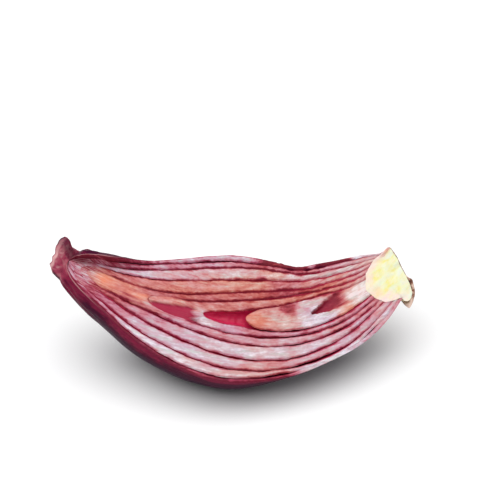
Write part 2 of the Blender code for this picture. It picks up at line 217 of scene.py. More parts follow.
def linear(code):
    """Linear colour of an sRGB hex value."""
    channels = [int(code[i:i + 2], 16) / 255 for i in (1, 3, 5)]
    return tuple(c / 12.92 if c <= 0.04045 else ((c + 0.055) / 1.055) ** 2.4 for c in channels)


def tint(name, code, words):
    """Colour setting with its default as an sRGB hex value."""
    return bpy.props.FloatVectorProperty(name=name, description=words, subtype="COLOR", size=3, min=0.0, max=1.0,
                                         default=linear(code))


def length(name, size, words):
    """Length setting; size is in millimetres."""
    return bpy.props.FloatProperty(name=name, description=words, default=size * MM, min=0.0, precision=5,
                                   unit="LENGTH")


class ONION_PG_sizes(bpy.types.PropertyGroup):
    gap: length("Gap", 0.22, "Usual gap between two neighbouring scales")
    wander: length("Edge wander", 0.14, "How far a scale's edge strays from its smooth line")
    rounding: length("Edge rounding", 0.14, "Drop of the cut face at a scale's edge")
    relief: length("Relief", 0.16, "Height of the swells on the cut face")
    pit: length("Pit depth", 1.4, "Depth of the hollow in the bud")
    torn: length("Torn depth", 0.3, "How far the torn side of the innermost scale lies below the cut")
    flap: length("Neck flap", 2.0, "Height of the torn flap at the neck")
    fold: length("Neck folds", 0.2, "Height of the lengthwise folds of the neck's dry skin")


class ONION_PG_flesh(bpy.types.PropertyGroup):
    lilac_white: tint("Lilac white", "#e2d8e1", "Palest flesh")
    lilac: tint("Lilac", "#c6aebb", "Pale flesh with a little colour")
    rose: tint("Rose", "#c28094", "Flesh with more colour")
    raspberry: tint("Raspberry", "#9e3350", "Flesh next to a scale's skin")
    crimson: tint("Crimson", "#6c0e2c", "Flesh soaked with colour")
    ivory: tint("Ivory", "#e8d8cd", "Palest warm flesh")
    peach: tint("Peach", "#d6a796", "Warm flesh")
    salmon: tint("Salmon", "#c7796c", "Warm flesh with more colour")
    brick: tint("Brick", "#aa403e", "Warm flesh soaked with colour")
    russet: tint("Russet", "#801823", "Darkest warm flesh")
    orange: tint("Orange", "#ee8c66", "Glow at the bow of a scale and at the bud's tip")
    grey_green: tint("Grey green", "#b4bcb2", "Watery patches of the flesh")
    inner_skin: tint("Inner skin", "#c01e49", "Thin crimson skin of each scale")
    inner_dark: tint("Inner skin, dark", "#941238", "The same where it is thicker")


class ONION_PG_skin(bpy.types.PropertyGroup):
    # Painted shade and sheen: the skin's colour falls to dark violet towards its underside. It is crimson by the cut,
    # where the painted shade is least, and along its veins.
    dark: tint("Dark violet", "#34142c", "Papery skin underneath")
    purple: tint("Purple crimson", "#460a28", "Papery skin")
    red: tint("Crimson", "#8c2442", "Papery skin near the cut and along its veins")
    dry: tint("Dry pink", "#d9a3a4", "Torn dry edge of the neck")
    brown: tint("Dry brown red", "#b44c64", "Dry papery inside of the neck")


class ONION_PG_base(bpy.types.PropertyGroup):
    yellow: tint("Pale yellow", "#e8e088", "Middle of the basal plate")
    cream: tint("Cream", "#ebe7c2", "Paler parts of the plate")
    green: tint("Green white", "#e4e8d2", "Watery parts of the plate")
    orange: tint("Orange", "#f0b873", "Lower corner of the plate")
    pink: tint("Pink", "#f3d6d0", "Edge of the plate against the scales")
    fringe: tint("Red fringe", "#b5524a", "Remains of the scales along the plate's edge")
    cork: tint("Cork", "#84563f", "Corky root crown")
    cork_dark: tint("Dark cork", "#4c2a22", "Hollows of the cork")
    cork_pale: tint("Pale cork", "#dcbfae", "Worn cork and its thin rim")


class ONION_PG_stage(bpy.types.PropertyGroup):
    floor: tint("Floor", "#f7f7f7", "Plain pale floor")
    soft_light: bpy.props.FloatProperty(name="Soft box power", description="Light from above, in watts",
                                        default=4.6, min=0.0)
    sky_light: bpy.props.FloatProperty(name="Room light", description="Even light from all round",
                                       default=0.28, min=0.0)


SIZES = {}


def measure(context):
    """Notes the size settings in millimetres for the piece that is made next."""
    settings = context.scene.onion_sizes
    SIZES.update({key: getattr(settings, key) / MM for key in ONION_PG_sizes.__annotations__})


def smooth_step(low, high, x):
    """0 below low, 1 above high, with an even rise between."""
    share = min(1.0, max(0.0, (x - low) / (high - low)))
    return share * share * (3.0 - 2.0 * share)


def bell(x):
    """1 at 0, falling evenly to 0 at 1 and -1."""
    return 1.0 - smooth_step(0.0, 1.0, abs(x))


def along(table, x, column=1):
    """Value at x on a smooth curve through the rows of a table, held level past its ends."""
    if x <= table[0][0]:
        return table[0][column]
    if x >= table[-1][0]:
        return table[-1][column]
    i = 0
    while table[i + 1][0] < x:
        i += 1
    last = len(table) - 1
    a, b, c, d = table[max(i - 1, 0)], table[i], table[i + 1], table[min(i + 2, last)]
    slope_b = (c[column] - a[column]) / (c[0] - a[0])
    slope_c = (d[column] - b[column]) / (d[0] - b[0])
    w = c[0] - b[0]
    t = (x - b[0]) / w
    return (b[column] * (1 + 2 * t) * (1 - t) ** 2 + c[column] * t * t * (3 - 2 * t)
            + w * slope_b * t * (1 - t) ** 2 - w * slope_c * t * t * (1 - t))


def half_width(station):
    """Half width of the cut face (mm), opening out of the lip as a rounded end."""
    if station <= LIP:
        return 0.0
    first, width = HALF_WIDTH[0]
    if station < first:
        return width * math.sqrt((station - LIP) / (first - LIP))
    return along(HALF_WIDTH, station)


def axis_point(station):
    """Point of the bent axis in the cut face (mm) and its unit sideways direction."""
    share = min(station, AXIS_STRAIGHT) / 30.0
    slope = sum(k * c * share ** (k - 1) for k, c in enumerate(AXIS_BEND) if k) / 30.0
    across = sum(c * share ** k for k, c in enumerate(AXIS_BEND)) + slope * max(0.0, station - AXIS_STRAIGHT)
    return Vector((station, across, 0.0)), Vector((-slope, 1.0, 0.0)).normalized()


def bulb_point(station, share, turn):
    """Point in the bulb's own axes (mm); the cut face is at height 0."""
    side = math.sin(math.pi / 2 * turn)
    if station > SHEAR_START:
        lean = BASE_SHEAR * half_width(station) * share * side
        station += lean * smooth_step(SHEAR_START, 27.0, station)
    width = half_width(station)
    depth = along(CUT_DEPTH, station)
    radius, rim_angle = NECK_RADIUS - 0.2 * smooth_step(LIP - 1.5, LIP, station), math.pi
    opened = station > LIP + CLOSE
    if opened:
        radius = math.hypot(width, depth)
        rim_angle = math.pi / 2 + math.atan2(depth, width)
    angle = rim_angle * turn
    if turn > 0.2 and share > 0.74 and station < -16.0:
        curl = smooth_step(LIP, LIP + 1.4, station) * (1.0 - smooth_step(-27.0, -16.0, station))
        curl *= smooth_step(0.74, 0.94, share) * smooth_step(0.2, 1.0, turn)
        angle += CURL_ROUND * curl
        radius += CURL_OUT * curl
    radius += BULGE * bell((turn - 0.62) / 0.38) * bell((station - LIP - 0.3) / 1.9) * share ** 4
    below = depth + radius * math.cos(angle)
    sink = max(depth, 0.0) * (share ** 2 if opened else 1.0)
    centre, sideways = axis_point(station)
    share *= 1.0 + (along(SWELL, station, 2 if side > 0.0 else 1) - 1.0) * side * side
    height = -share * below - (1.0 - share) * sink
    return centre + sideways * (radius * math.sin(angle) * share) + Vector((0.0, 0.0, height))


# The table's height in the turned bulb's axes (mm). The skin's lowest part, below it, is pressed flat.
FLOOR = FLAT_RISE + min((ATTITUDE @ bulb_point(s / 2, 1.0, t / 20)).z for s in range(-60, 60)
                        for t in range(-20, 21))


def settled(point, station, share, turn):
    """Turns a point to the table's axes and lifts it where the skin is pressed flat on the table; in metres."""
    placed = ATTITUDE @ point
    if abs(turn) < 0.7:
        lift = max(0.0, FLOOR - (ATTITUDE @ bulb_point(station, 1.0, turn)).z)
        placed.z += lift * min(share, 1.0) ** 2
    return (placed + Vector((*SHIFT, -FLOOR))) * MM


def stray(station, turn, seed, pace=1.0):
    """Smooth random number from about -1 to 1 that changes along the bulb and round it."""
    return (noise.noise(Vector((station * 0.42 * pace, turn * 2.3, seed)))
            + 0.5 * noise.noise(Vector((station * 1.5 * pace, turn * 4.0, seed + 9.0))))


def way_round(turn, middle):
    """Turn from a middle by the shorter way round the closed neck."""
    return (turn - middle + 1.0) % 2.0 - 1.0


def ring_noise(run, turn, pace):
    """Smooth random number that closes on itself round the neck; pace is the number of swells in a sixth of it."""
    return noise.noise(Vector((run + 40.0, pace * math.cos(math.pi * turn), pace * math.sin(math.pi * turn))))


def bow_start(edge, side):
    """Station at which an edge's curve starts, a little short of its bow or past it."""
    bow = BUD_BOW if edge < 0 else BOWS[edge]
    return bow[0] - side * (0.1 if edge < 1 else 0.03 if edge == 1 else 0.004)


def edge_share(edge, station, turn, side):
    """Share of the half width at which a layer's edge runs; side is 1 for the layer outside it and -1 for the one
    inside it, which stand half a gap apart. The bud's own edge has the number -1."""
    bow, table = (BUD_BOW, 0) if edge < 0 else (BOWS[edge], edge)
    turn *= smooth_step(LIP, LIP + 1.0, station)
    gap = SIZES["gap"] / 2 * max(0.15, 1.0 + 1.2 * stray(station, turn, 31.0 + edge, 0.5))
    for wide, end, middle, reach, extra in WIDE_GAPS:
        if wide == edge:
            gap += extra * bell((station - middle) / reach) * smooth_step(0.3, 1.0, turn * end)
    # Gaps close towards the basal plate, towards a bow and on the far side.
    gap *= max(0.15, min(1.0, (station - PLATE_FRONT - PLATE_CUP * 0.4) / -2.5))
    if edge > 1:
        gap *= 0.05 + 0.95 * smooth_step(1.0, 8.0, station - bow[0])
    gap *= 1.0 - 0.3 * smooth_step(0.0, 1.0, turn)
    if edge == 1:
        gap *= 1.0 - 0.97 * bell((station + 12.0) / 7.0)
    if edge == 5:
        gap *= 0.1 + 0.9 * smooth_step(-25.0, -19.0, station)
        joined = smooth_step(*JOINED, station) * (1.0 - 0.5 * smooth_step(20.0, 23.0, station))
        gap *= 1.0 - 0.93 * joined * smooth_step(0.3, 0.8, -turn)
    wander = SIZES["wander"] * stray(station, turn, 3.0 * edge) * smooth_step(0.0, 2.0, station - bow[0])
    start = bow_start(edge, side)
    if station <= start:
        return 0.0
    opening = min(1.0, (station - start) / bow[1])
    rounding = math.sqrt(1.0 - (1.0 - opening) ** 2)
    near, far = along(EDGE_NEAR[table], station), along(EDGE_FAR[table], station)
    middle = near + (far - near) * (1.0 + turn) / 2.0
    return max(0.0, rounding * (middle + (side * gap + wander) / max(half_width(station), NECK_RADIUS)))


def cup(share, turn):
    """Rise of the plate's cupped front (mm) at a share of the way out."""
    fray = 0.5 * noise.noise(Vector((share * 5.0, turn * 1.5, 77.0))) * smooth_step(0.05, 0.3, share)
    return (PLATE_CUP - PLATE_LEAN * turn) * share ** PLATE_POWER + fray


def edge_curve(edge, side):
    """Curve along an edge, from its bow to the basal plate; u runs from 0 to 1."""
    start = bow_start(edge, side)
    tables = EDGE_NEAR[max(edge, 0)], EDGE_FAR[max(edge, 0)]

    def curve(u, turn):
        station = start + (PLATE_FRONT - start) * u ** 1.6
        near, far = (along(table, PLATE_FRONT) for table in tables)
        station += cup((near + (far - near) * (1.0 + turn) / 2.0) * u ** 4, turn)
        return station, edge_share(edge, station, turn, side) if u > 0.0 else 0.0
    return curve


def axis_curve(start, end):
    """Straight run along the axis, the middle of a solid piece."""
    def curve(u, turn):
        return start + (end - start) * u, 0.0
    return curve


def skin_inside(u, turn):
    """Inside of the papery skin, with its blind end in the neck."""
    if u <= NECK_RUN:
        station = SKIN_HOLLOW_BOW[0] + (LIP - SKIN_HOLLOW_BOW[0]) * (u / NECK_RUN) ** 1.4
    else:
        run = (u - NECK_RUN) / (1.0 - NECK_RUN)
        station = LIP + (PLATE_FRONT - LIP) * run ** 1.5 + cup(0.89 * run ** 4, turn)
    opening = min(1.0, max(0.0, station - SKIN_HOLLOW_BOW[0]) / SKIN_HOLLOW_BOW[1])
    rounding = math.sqrt(1.0 - (1.0 - opening) ** 2)
    near, far = along(EDGE_NEAR[5], station), along(EDGE_FAR[5], station)
    share = near + (far - near) * (1.0 + turn) / 2.0
    gap = edge_share(5, station, turn, 1) - share if station > BOWS[5][0] + BOWS[5][1] else 0.0
    return station, rounding * (share + gap)


def skin_outside(u, turn):
    """Outside of the papery skin: the torn end of the neck, the neck's side, then the bulb."""
    if u > NECK_RUN:
        run = (u - NECK_RUN) / (1.0 - NECK_RUN)
        station = LIP + (PLATE_FRONT - LIP) * run ** 1.5 + cup(run ** 4, turn)
        share = 1.0
        folded = 1.0
    else:
        run = u / NECK_RUN
        flap = bell(way_round(turn, 0.88) / 0.2)
        tip = -29.7 - 0.9 * bell(way_round(turn, -0.4) / 0.5) - 1.35 * bell(way_round(turn, 1.0) / 0.55)
        tip -= 0.15 * flap
        tip -= 0.3 * ring_noise(0.0, turn, 2.5)
        if run < END_RUN:
            share = END_SHARE * run / END_RUN
            station = END_STATION + (tip - END_STATION) * (run / END_RUN) ** 2
        else:
            out = (run - END_RUN) / (1.0 - END_RUN)
            share = END_SHARE + (1.0 - END_SHARE) * min(1.0, out * 4.0)
            station = tip + (LIP - tip) * out
        flap *= 1.0 + 0.5 * ring_noise(0.0, turn, 14.0)
        flap *= SIZES["flap"] / NECK_RADIUS
        share += flap * smooth_step(-28.6, -30.6, station) * smooth_step(0.1, END_RUN, run)
        folded = smooth_step(0.2, 0.4, run)
    share += 0.02 * stray(station * 1.6, 0.0, 83.0) * bell((station - 12.0) / 8.0) * smooth_step(0.85, 1.0, turn)
    neck = 1.0 - smooth_step(-29.0, -17.0, station)
    ridges = ring_noise(station * 0.25, turn, 3.5) + 0.6 * ring_noise(station * 0.5, turn, 7.3)
    rise = SIZES["fold"] * ridges * neck / max(half_width(station), NECK_RADIUS)
    rise += 0.004 * ridges * (1.0 - neck)
    return station, share * (1.0 + rise * folded)


def plate_back(run, turn):
    """Back of the basal plate, from its rim, at run 0, to the axis, at run 1."""
    far = (1.0 + turn) / 2.0
    station, share = (along(PLATE_NEAR, run, k) * (1.0 - far) + along(PLATE_FAR, run, k) * far for k in (1, 2))
    return station, share * (1.0 + 0.04 * stray(run * 9.0, turn, 51.0) * bell((run - 0.5) / 0.5))


def plate_curve(u, turn):
    """Outline of the basal plate: the cupped front to half way, then the back."""
    if u < 0.5:
        share = math.sin(math.pi * u)
        return PLATE_FRONT + cup(share, turn), share
    return plate_back(2.0 * u - 1.0, turn)


def crown_curve(lift):
    """Face of the root crown, a crust on the back of the plate, from its middle to its rim. It is thick on the near
    side, where its end curls away from the plate, and thins out to a film behind."""
    def curve(u, turn):
        run = 1.0 - 0.8 * u
        station, share = plate_back(run, turn)
        next_station, next_share = plate_back(run - 0.02, turn)
        size = half_width(station)
        back, out = (next_share - share) * size, station - next_station
        slant = math.hypot(back, out)
        near = (1.0 - turn) / 2.0
        crust = 0.1 + 0.45 * near ** 2 * smooth_step(0.25, 0.5, u) * (1.0 - 0.6 * smooth_step(0.85, 1.0, u))
        crust *= 1.0 + 0.35 * smooth_step(0.0, 0.2, u) * stray(u * 6.0, turn * 3.0, 61.0)
        offset = 0.02 + lift * crust + 0.45 * bell((turn + 1.0) / 0.35) * smooth_step(0.8, 1.0, u) ** 2
        spread = smooth_step(0.0, 0.5, u)
        back = 1.0 + (back / slant - 1.0) * spread
        return station + offset * back, share + offset * spread * out / slant / size
    return curve


def margins(edges, station, share, turn, size):
    """Distances (mm) of a point of the cut face from its piece's inner and outer edge."""
    high = 1.0 if edges[1] is None else edge_share(edges[1], station, turn, -1)
    if edges[0] is None:
        return 2.0 * size, (high - share) * size
    bow = BUD_BOW if edges[0] < 0 else BOWS[edges[0]]
    low = edge_share(edges[0], station, turn, 1)
    return math.hypot((share - low) * size, max(0.0, bow[0] - station)), (high - share) * size


def line_strength(layer, station, turn, outer):
    """How strongly the dark line at a piece's edge is drawn, 0 to 1; outer tells whether its outer edge is nearer."""
    strength = 0.05 + 0.95 * smooth_step(-26.0, -18.0, station)
    strength *= 1.0 - 0.45 * smooth_step(19.0, 26.0, station)
    if turn < 0.0 and (layer == "skin" or layer == "scale_1" and outer):
        strength *= 1.0 - smooth_step(*JOINED, station) * (1.0 - 0.6 * smooth_step(19.0, 23.0, station))
    if layer == "bud" and turn > 0.0:
        strength *= 0.35
    if layer == "scale_5" or layer == "scale_4" and not outer:
        faded = bell((station + 11.0) / 6.0) if turn < 0.0 else 1.0 - smooth_step(-12.0, -8.0, station)
        strength *= 1.0 - 0.9 * faded
    return strength


def lens(station, across):
    """1 where the innermost scale is torn down to its crimson skin, 0 elsewhere."""
    upper = 0.12 + 0.16 * (station + 11.4)
    torn_end = -6.7 - 0.3 * across + 0.5 * noise.noise(Vector((0.0, across * 1.7, 23.0)))
    along_it = smooth_step(-14.6, -13.9, station) * (1.0 - smooth_step(torn_end - 0.3, torn_end + 0.1, station))
    return along_it * (1.0 - smooth_step(upper - 0.1, upper + 0.15, across))


def pit(station, across):
    """1 in the wedge-shaped hollow of the bud, which opens towards the base, 0 outside it."""
    run = (station - 14.4) / 6.5
    width = 0.25 + 1.7 * max(0.0, run)
    reach = abs(across - 1.25 * run) / width + 0.3 * noise.noise(Vector((station * 0.9, across * 1.4, 2.0)))
    wavy = run + 0.2 * noise.noise(Vector((0.0, across, 5.0)))
    ends = smooth_step(-0.08, 0.03, run) * (1.0 - smooth_step(0.7, 1.1, wavy))
    return ends * (1.0 - smooth_step(0.6, 1.2, reach))


def tone(layer, station, across, turn):
    """Blush, warm, glow and bare skin of a layer's cut face at a point."""
    far = 0.5 + 0.5 * (max(-1.0, min(1.0, across / 1.5)) if layer in ("bud", "plate") else turn)
    near_table = TONES_NEAR[layer]
    far_table = TONES_FAR.get(layer, near_table)
    values = [along(near_table, station, k) * (1.0 - far) + along(far_table, station, k) * far for k in (1, 2)]
    values += [0.0, 0.0]
    bend = 0.45 * noise.noise(Vector((station * 0.8, across * 0.9, 17.0)))
    for name, s, a, long_half, wide_half, *wanted, strength in PATCHES:
        if name == layer:
            reach = math.hypot((station - s) / long_half, (across - a) / wide_half) + bend
            weight = strength * (1.0 - smooth_step(0.2, 1.3, reach))
            values = [v + (w - v) * weight for v, w in zip(values, wanted)]
    if layer == "scale_5":
        values[3] = lens(station, across)
    if layer == "bud":
        hollow = pit(station, across)
        wanted = 0.95, 0.5, 0.0, 0.8 - 0.7 * smooth_step(15.0, 20.0, station)
        values = [v + (w - v) * hollow for v, w in zip(values, wanted)]
    if layer == "plate":
        front = station - PLATE_FRONT - cup(min(1.0, abs(across) / half_width(station)), turn)
        pale = 1.0 - smooth_step(0.3, 2.2, front + 1.2 * noise.noise(Vector((station, across * 1.3, 9.0))))
        values[0] += (0.45 + 0.4 * smooth_step(-0.5, 2.5, across)) * pale
    return values


def height_of_cut(layer, station, across, edge, line):
    """How far the cut face stands above its plane (mm) at a point of a layer's rim. edge is the distance from its
    edge, which is rounded off as far as its line is strong."""
    drop = SIZES["rounding"] * line * (1.0 - smooth_step(0.0, 0.22, edge))
    swell = SIZES["relief"] * (stray(station * 0.6, across * 0.25, 40.0 + ord(layer[-1])) + 0.35)
    rise = swell * smooth_step(0.0, 0.6, edge) - drop
    if layer == "scale_5":
        rise -= (SIZES["torn"] + rise) * lens(station, across)
    if layer == "bud":
        depth = SIZES["pit"] * (1.0 - 0.7 * smooth_step(15.0, 20.0, station)) * smooth_step(0.0, 0.7, edge)
        rise -= depth * pit(station, across)
    if layer == "skin":
        torn_rim = bell((station - 12.0) / 7.0) * smooth_step(0.0, 4.0, across)
        rise += 0.35 * torn_rim * noise.noise(Vector((station * 0.9, 0.0, 57.0)))
    return rise


def spun_strip(rows, courses, turns):
    """Bmesh of a flat strip spun half a turn about the x axis: its run along the axis goes from 0 to 1, and its
    distance from the axis from 1 to 2."""
    bm = bmesh.new()
    bmesh.ops.create_grid(bm, x_segments=rows, y_segments=courses, size=0.5)
    bmesh.ops.translate(bm, verts=bm.verts, vec=(0.5, 1.5, 0.0))
    bmesh.ops.scale(bm, verts=bm.verts, vec=(1.0, -1.0, 1.0))
    bmesh.ops.spin(bm, geom=bm.verts[:] + bm.edges[:] + bm.faces[:], cent=(0, 0, 0), axis=(1, 0, 0),
                   angle=math.pi, steps=turns, use_merge=False, use_duplicate=False)
    return bm


def strip_place(co):
    """Run, turn and share of the way across of a point of the spun strip; the last is denser at the strip's sides."""
    turn = math.atan2(co.y, -co.z) / (math.pi / 2)
    across = (1.0 - math.cos(math.pi * min(1.0, max(0.0, co.yz.length - 1.0)))) / 2.0
    return min(1.0, max(0.0, co.x)), max(-1.0, min(1.0, turn)), across


def neck_tones(u, turn, station):
    """Torn, bare and painted shade of the papery skin: pale torn edge, dry inside of the neck, and painted shade on
    the skin's underside, on the hood and in a crease at the neck's flap.
    """
    run = u / NECK_RUN
    torn = min(1.0, 1.4 * bell((run - 0.47) / 0.13)) * (1.0 - 0.9 * bell(way_round(turn, 0.84) / 0.3))
    bare = (1.0 - smooth_step(-29.2, -27.4, station)) * smooth_step(0.5, 0.62, abs(turn))
    # The dry inside is left out at the flap's middle, so the painted shade shows there as a dark streak.
    bare *= 1.0 - 0.8 * bell((turn - 0.8) / 0.34)
    bare *= smooth_step(0.37, 0.44, run)
    # Painted shade: the papery skin darkens towards its underside, less so by the neck.
    under = (1.0 - abs(turn)) * (0.15 + 0.85 * smooth_step(-25.0, -8.0, station))
    # Painted shade on the hood's top behind the neck, deepest in a painted crease shadow under the torn flap.
    painted_hood_shade = smooth_step(0.75, 0.9, turn) * (1.0 - smooth_step(-20.0, -12.0, station))
    painted_crease_shadow = bell((turn - 0.92) / 0.08) * (1.0 - smooth_step(-29.6, -28.0, station))
    return torn, bare, under + painted_hood_shade * (0.1 + 0.12 * painted_crease_shadow)


def spun_piece(name, layer, inner, outer, edges, mesh_size, surfaces, node):
    """Makes a closed half-turn piece between two curves. edges are the numbers of the layer edges that bound it and
    surfaces are those of its cut face and of its walls."""
    bm = spun_strip(*mesh_size)
    values = {n: bm.verts.layers.float.new(n) for n in
              ("inside", "outside", "blush", "warm", "glow", "bare", "line", "torn", "under")}
    grain = bm.verts.layers.float_vector.new("grain")
    places, whole, ends = {}, [], {}
    for vert in bm.verts:
        u, turn, cross = strip_place(vert.co)
        key = (round(u, 5), round(turn, 5))
        if key not in ends:
            ends[key] = Vector(inner(u, turn)), Vector(outer(u, turn))
        low, high = ends[key]
        station, share = low.lerp(high, cross)
        if turn > CUT_TURN and station <= LIP + CLOSE:
            # The neck closes on itself, so its last line of points is its first.
            share = Vector(inner(u, -1.0)).lerp(Vector(outer(u, -1.0)), cross).y
        places[vert] = (u, turn, station, share)
    for face in bm.faces:
        rim = all(abs(places[v][1]) > CUT_TURN for v in face.verts)
        face.material_index = 0 if rim else 1
        if rim and max(places[v][2] for v in face.verts) <= LIP + CLOSE:
            whole.append(face)
    bmesh.ops.delete(bm, geom=whole, context="FACES")
    for vert in bm.verts:
        u, turn, station, share = places[vert]
        size = max(half_width(station), NECK_RADIUS)
        across = share * size * turn
        point = bulb_point(station, share, turn)
        if (abs(turn) > CUT_TURN or share < ON_AXIS) and station > LIP + CLOSE:
            side = turn if share >= ON_AXIS else 0.0
            inside, outside = margins(edges, station, share, side, size)
            line = line_strength(layer, station, side, outside < inside)
            point.z += height_of_cut(layer, station, across, min(inside, outside), line)
            painted = (inside, outside, line, 1.0 - smooth_step(-26.0, -20.0, station),
                       *tone(layer, station, across, side))
            for key, value in zip(("inside", "outside", "line", "torn", "blush", "warm", "glow", "bare"), painted):
                vert[values[key]] = value
            vert[grain] = Vector((station, across, 5.0 * ord(layer[-1])))
        else:
            vert[grain] = Vector((station, *(point - axis_point(station)[0]).yz))
        if layer == "skin" and abs(turn) < CUT_TURN or station <= LIP:
            for key, value in zip(("torn", "bare", "under"), neck_tones(u, turn, station)):
                vert[values[key]] = value
        elif layer == "crown":
            vert[values["torn"]] = smooth_step(0.75, 1.0, u)
        vert.co = settled(point, station, share, turn)
    bmesh.ops.remove_doubles(bm, verts=bm.verts, dist=MERGE)
    bmesh.ops.delete(bm, geom=[vert for vert in bm.verts if not vert.link_faces], context="VERTS")
    bmesh.ops.recalc_face_normals(bm, faces=bm.faces)
    mesh = bpy.data.meshes.new(name)
    bm.to_mesh(mesh)
    bm.free()
    mesh.shade_smooth()
    mesh.set_sharp_from_angle(angle=math.radians(SHARP))
    for surface in surfaces:
        mesh.materials.append(surface)
    made = bpy.data.objects.new(name, mesh)
    bpy.context.scene.collection.objects.link(made)
    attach(made, "root")
    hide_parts(node)


def add_node(tree, kind, inputs=None, stops=None, output=None, **settings):
    """Adds a node, of a type without its ShaderNode, and returns its output, the first in use unless one is named.
    inputs maps a socket's name or number to a value or to the output that feeds it; stops are the places and colours
    of a colour ramp."""
    made = tree.nodes.new("ShaderNode" + kind)
    for key, value in settings.items():
        setattr(made, key, value)
    for key, value in (inputs or {}).items():
        if isinstance(value, bpy.types.NodeSocket):
            tree.links.new(value, made.inputs[key])
        else:
            made.inputs[key].default_value = (*value, 1.0) if isinstance(value, Color) else value
    if stops:
        ramp = made.color_ramp
        while len(ramp.elements) < len(stops):
            ramp.elements.new(0.5)
        for element, (place, colour) in zip(ramp.elements, stops):
            element.position = place
            element.color = (*colour, 1.0)
    return made.outputs[output] if output else next(socket for socket in made.outputs if socket.enabled)


def new_surface(name, attributes=(), noises=(), **sockets):
    """Material with its Principled shader's constant sockets set, its node tree, and that shader's inputs.

    The last of what it returns holds, by name, the outputs of the mesh attributes that it reads and of its noises.
    Those follow the grain along the bulb: name, size of the spots along and across it in mm, and detail.
    """
    made = bpy.data.materials.new(name)
    made.use_nodes = True
    tree = made.node_tree
    shader = tree.nodes["Principled BSDF"].inputs
    for key, value in sockets.items():
        shader[key.replace("_", " ")].default_value = value
    read = {}
    for key in attributes:
        output = "Vector" if key == "grain" else "Fac"
        read[key] = add_node(tree, "Attribute", output=output, attribute_name=key)
    for key, run, width, detail in noises:
        place = add_node(tree, "Mapping",
                         {"Vector": read["grain"], "Scale": (1.0 / run, 1.0 / width, 1.0 / width)})
        read[key] = add_node(tree, "TexNoise", {"Vector": place, "Scale": 1.0, "Detail": detail})
    return made, tree, shader, read


